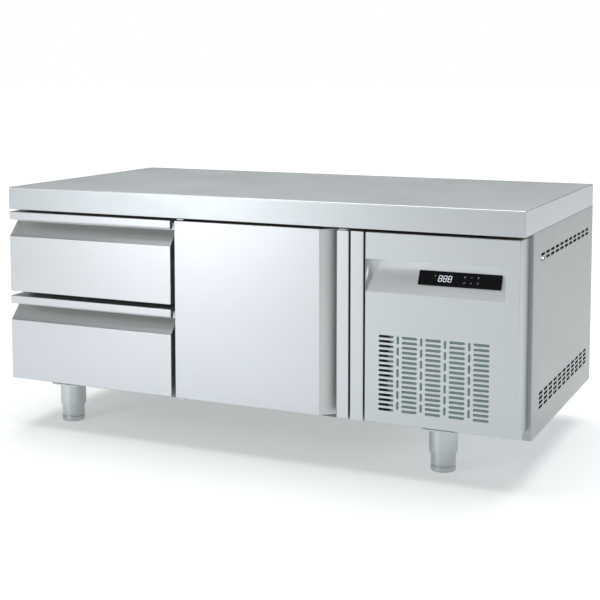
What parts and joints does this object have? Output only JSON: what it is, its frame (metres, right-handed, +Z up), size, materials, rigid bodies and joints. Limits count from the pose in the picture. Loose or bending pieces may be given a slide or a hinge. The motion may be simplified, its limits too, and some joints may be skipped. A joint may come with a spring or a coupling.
{
  "type": "under counter fridge",
  "caption": "Low under-counter fridge in stainless steel with stacked drawers, a hinged door, a touch-display service panel with grille, and round adjustable legs.",
  "frame": {"origin": "on the floor, under the middle of the worktop", "axes": "+Z up; the fronts face -Y; +X runs to the right as seen from the front"},
  "size_m": [1.342, 0.7, 0.62],
  "materials": {
    "stainless": "brushed",
    "galvanized": "satin",
    "foam": "matte",
    "board": "matte",
    "gasket": "matte",
    "nylon": "matte",
    "display_glass": "glossy",
    "fins": "satin",
    "fan_plastic": "matte",
    "black_enamel": "satin",
    "copper": "satin"
  },
  "bodies": {
    "cabinet": {"worktop_skin": "stainless", "worktop_core": "board", "left_side_panel": "stainless", "right_side_panel": "stainless", "rear_panel": "galvanized", "machine_rear_grille": "galvanized", "base_panel": "galvanized", "partition_panel": "galvanized", "insulation_foam": "foam", "liner_floor": "stainless", "liner_ceiling": "stainless", "liner_walls": "stainless", "frame_rails": "stainless", "frame_uprights": "stainless", "bay_divider": "stainless", "pillar_strip": "stainless", "leg_sleeves": "stainless", "drawer_outer_rails": "galvanized", "hinge_brackets": "galvanized", "grid_shelf": "stainless", "shelf_supports": "stainless", "evaporator_cover": "stainless", "evaporator_coil": "fins", "evaporator_motor": "black_enamel", "machine_tray": "galvanized", "service_panel": "stainless", "control_display": "display_glass", "condenser_coil": "fins", "fan_shroud": "galvanized", "fan_motor": "black_enamel", "compressor": "black_enamel", "refrigerant_pipes": "copper", "electrical_box": "nylon", "power_inlet": "fan_plastic", "panel_screws": "galvanized"},
    "upper_drawer": {"upper_front_skin": "stainless", "upper_front_foam": "foam", "upper_inner_panel": "stainless", "upper_gasket": "gasket", "upper_drawer_box": "stainless", "upper_inner_rails": "galvanized"},
    "upper_slide": {"upper_middle_rails": "galvanized"},
    "lower_drawer": {"lower_front_skin": "stainless", "lower_front_foam": "foam", "lower_inner_panel": "stainless", "lower_gasket": "gasket", "lower_drawer_box": "stainless", "lower_inner_rails": "galvanized"},
    "lower_slide": {"lower_middle_rails": "galvanized"},
    "door": {"door_skin": "stainless", "door_foam": "foam", "door_inner_panel": "stainless", "door_gasket": "gasket", "door_bushes": "nylon"},
    "foot_fl": {"foot_front_left": "stainless"},
    "foot_fr": {"foot_front_right": "stainless"},
    "foot_rl": {"foot_rear_left": "stainless"},
    "foot_rr": {"foot_rear_right": "stainless"},
    "condenser_rotor": {"condenser_fan": "fan_plastic"},
    "evaporator_rotor": {"evaporator_fan": "fan_plastic"}
  },
  "joints": [
    {"name": "upper_drawer_slide", "type": "slide", "parent": "cabinet", "child": "upper_drawer", "axis": [0, -1, 0], "range_m": [0, 0.45]},
    {"name": "upper_rail_slide", "type": "slide", "parent": "cabinet", "child": "upper_slide", "axis": [0, -1, 0], "range_m": [0, 0.225]},
    {"name": "lower_drawer_slide", "type": "slide", "parent": "cabinet", "child": "lower_drawer", "axis": [0, -1, 0], "range_m": [0, 0.45]},
    {"name": "lower_rail_slide", "type": "slide", "parent": "cabinet", "child": "lower_slide", "axis": [0, -1, 0], "range_m": [0, 0.225]},
    {"name": "door_hinge", "type": "hinge", "parent": "cabinet", "child": "door", "pos_m": [-0.1755, -0.338, 0.341], "axis": [0, 0, -1], "range_deg": [0, 90]},
    {"name": "foot_fl_screw", "type": "slide", "parent": "cabinet", "child": "foot_fl", "axis": [0, 0, 1], "range_m": [0, 0.015]},
    {"name": "foot_fr_screw", "type": "slide", "parent": "cabinet", "child": "foot_fr", "axis": [0, 0, 1], "range_m": [0, 0.015]},
    {"name": "foot_rl_screw", "type": "slide", "parent": "cabinet", "child": "foot_rl", "axis": [0, 0, 1], "range_m": [0, 0.015]},
    {"name": "foot_rr_screw", "type": "slide", "parent": "cabinet", "child": "foot_rr", "axis": [0, 0, 1], "range_m": [0, 0.015]},
    {"name": "condenser_fan_spin", "type": "hinge", "parent": "cabinet", "child": "condenser_rotor", "pos_m": [0.4705, -0.187, 0.234], "axis": [0, -1, 0], "continuous": true},
    {"name": "evaporator_fan_spin", "type": "hinge", "parent": "cabinet", "child": "evaporator_rotor", "pos_m": [0.1697, 0.0278, 0.3416], "axis": [1, 0, 0], "continuous": true}
  ],
  "couplings": [
    {"joint": "upper_rail_slide", "follows": "upper_drawer_slide", "ratio": 0.5},
    {"joint": "lower_rail_slide", "follows": "lower_drawer_slide", "ratio": 0.5}
  ]
}
